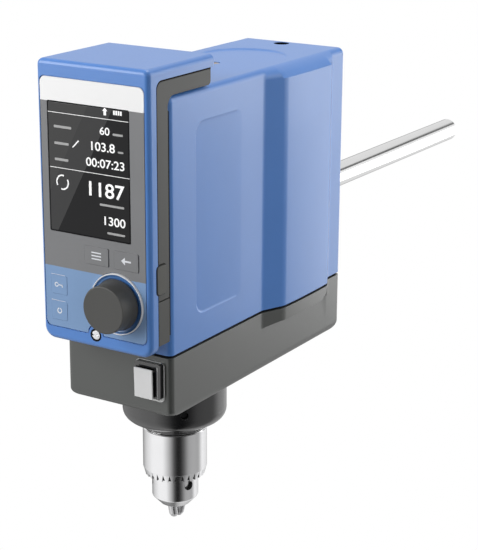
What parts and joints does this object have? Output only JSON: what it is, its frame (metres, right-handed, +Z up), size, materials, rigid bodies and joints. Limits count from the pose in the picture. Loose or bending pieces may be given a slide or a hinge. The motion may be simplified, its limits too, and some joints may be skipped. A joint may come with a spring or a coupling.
{
  "type": "overhead laboratory stirrer",
  "caption": "Overhead stirrer hung on a stand by a rear steel rod: drive housing over a cast base, a control head with display and knob, and a keyed chuck below on a hollow spindle.",
  "frame": {"origin": "on the support rod's centre line where a stand's boss head grips it, 158 mm behind the housing", "axes": "+Y runs back along the support rod, +Z up along the spindle, +X to the right seen from the front"},
  "size_m": [0.0866, 0.4655, 0.2912],
  "materials": {
    "cover_blue": "satin blue moulding",
    "base_grey": "satin grey paint on a casting",
    "shell_grey": "fine texture, dark grey",
    "trim_black": "black moulding",
    "collar_black": "gloss black",
    "chuck_steel": "turned and polished",
    "rod_steel": "polished stainless",
    "shaft_steel": "ground",
    "aluminium": "machined",
    "brass": "turned",
    "rubber": "matt",
    "panel_film": "printed film",
    "display": "clear window over a dark display",
    "white": "satin white",
    "board": "green solder mask"
  },
  "bodies": {
    "housing": {"upper_cover": "cover_blue", "base_housing": "base_grey", "bearing_collar": "collar_black", "collar_screw": "shaft_steel", "lower_bearing": "shaft_steel", "upper_bearing": "shaft_steel", "spindle_tube": "aluminium", "chassis": "aluminium", "cover_screw": "brass", "drive_belt": "rubber", "motor_can": "aluminium", "support_rod": "rod_steel", "rod_clamp": "aluminium", "rod_screw": "shaft_steel", "switch_seal": "white", "switch_frame": "trim_black", "mains_inlet": "trim_black", "data_socket": "shaft_steel", "control_board": "board", "power_supply": "board", "contact_strip": "trim_black"},
    "spindle": {"spindle": "shaft_steel", "spindle_pulley": "aluminium", "chuck_body": "chuck_steel"},
    "sleeve": {"chuck_sleeve": "chuck_steel", "chuck_nut": "shaft_steel"},
    "jaw_1": {"chuck_jaw_1": "shaft_steel"},
    "jaw_2": {"chuck_jaw_2": "shaft_steel"},
    "jaw_3": {"chuck_jaw_3": "shaft_steel"},
    "rotor": {"motor_shaft": "shaft_steel", "motor_pulley": "aluminium"},
    "rocker": {"rocker": "white"},
    "shaft_cap": {"shaft_cap": "shell_grey"},
    "head": {"head_front": "cover_blue", "head_back": "shell_grey", "battery_cover": "shell_grey", "front_panel": "panel_film", "display_glass": "display", "display_module": "shaft_steel", "key_board": "board", "main_board": "board", "battery": "trim_black", "knob_ring": "white", "encoder": "trim_black"},
    "menu_key": {"menu_key": "panel_film"},
    "back_key": {"back_key": "panel_film"},
    "lock_key": {"lock_key": "panel_film"},
    "power_key": {"power_key": "panel_film"},
    "knob_push": {"push_plunger": "shaft_steel"},
    "knob": {"knob": "shell_grey", "knob_shaft": "shaft_steel"},
    "lock_screw": {"lock_screw": "white"},
    "socket_flap": {"socket_flap": "rubber"}
  },
  "joints": [
    {"name": "spindle_spin", "type": "hinge", "parent": "housing", "child": "spindle", "pos_m": [0, -0.296, 0], "axis": [0, 0, 1], "continuous": true},
    {"name": "motor_spin", "type": "hinge", "parent": "housing", "child": "rotor", "pos_m": [0, -0.2198, 0], "axis": [0, 0, 1], "continuous": true},
    {"name": "sleeve_turn", "type": "hinge", "parent": "spindle", "child": "sleeve", "pos_m": [0, -0.296, -0.13], "axis": [0, 0, -1], "range_deg": [0, 4320]},
    {"name": "jaw_1_slide", "type": "slide", "parent": "spindle", "child": "jaw_1", "axis": [0.1723, 0.1446, 0.9744], "range_m": [0, 0.0165]},
    {"name": "jaw_2_slide", "type": "slide", "parent": "spindle", "child": "jaw_2", "axis": [-0.2114, 0.0769, 0.9744], "range_m": [0, 0.0165]},
    {"name": "jaw_3_slide", "type": "slide", "parent": "spindle", "child": "jaw_3", "axis": [0.0391, -0.2215, 0.9744], "range_m": [0, 0.0165]},
    {"name": "rocker_tilt", "type": "hinge", "parent": "housing", "child": "rocker", "pos_m": [0.02, -0.3466, -0.0653], "axis": [-1, 0, 0], "range_deg": [0, 10]},
    {"name": "cap_lift", "type": "slide", "parent": "housing", "child": "shaft_cap", "axis": [0, 0, 1], "range_m": [0, 0.03]},
    {"name": "head_slide", "type": "slide", "parent": "housing", "child": "head", "axis": [0, -1, 0], "range_m": [0, 0.045]},
    {"name": "menu_key_press", "type": "slide", "parent": "head", "child": "menu_key", "axis": [0, 1, 0], "range_m": [0, 0.0004], "stiffness_N_per_m": 400},
    {"name": "back_key_press", "type": "slide", "parent": "head", "child": "back_key", "axis": [0, 1, 0], "range_m": [0, 0.0004], "stiffness_N_per_m": 400},
    {"name": "lock_key_press", "type": "slide", "parent": "head", "child": "lock_key", "axis": [0, 1, 0], "range_m": [0, 0.0004], "stiffness_N_per_m": 400},
    {"name": "power_key_press", "type": "slide", "parent": "head", "child": "power_key", "axis": [0, 1, 0], "range_m": [0, 0.0004], "stiffness_N_per_m": 400},
    {"name": "knob_press", "type": "slide", "parent": "head", "child": "knob_push", "axis": [0, 1, 0], "range_m": [0, 0.0005], "stiffness_N_per_m": 800},
    {"name": "knob_turn", "type": "hinge", "parent": "knob_push", "child": "knob", "pos_m": [0.0147, -0.3723, -0.015], "axis": [0, -1, 0], "continuous": true},
    {"name": "lock_turn", "type": "hinge", "parent": "head", "child": "lock_screw", "pos_m": [-0.0004, -0.3723, -0.0358], "axis": [0, -1, 0], "range_deg": [0, 90]},
    {"name": "flap_open", "type": "hinge", "parent": "head", "child": "socket_flap", "pos_m": [0.0378, -0.3621, -0.0081], "axis": [0, 1, 0], "range_deg": [0, 95], "stiffness_Nm_per_rad": 0.0005}
  ],
  "couplings": [
    {"joint": "motor_spin", "follows": "spindle_spin", "ratio": 1.8333},
    {"joint": "jaw_1_slide", "follows": "sleeve_turn", "m_per_rad": 0.0002188},
    {"joint": "jaw_2_slide", "follows": "sleeve_turn", "m_per_rad": 0.0002188},
    {"joint": "jaw_3_slide", "follows": "sleeve_turn", "m_per_rad": 0.0002188}
  ]
}
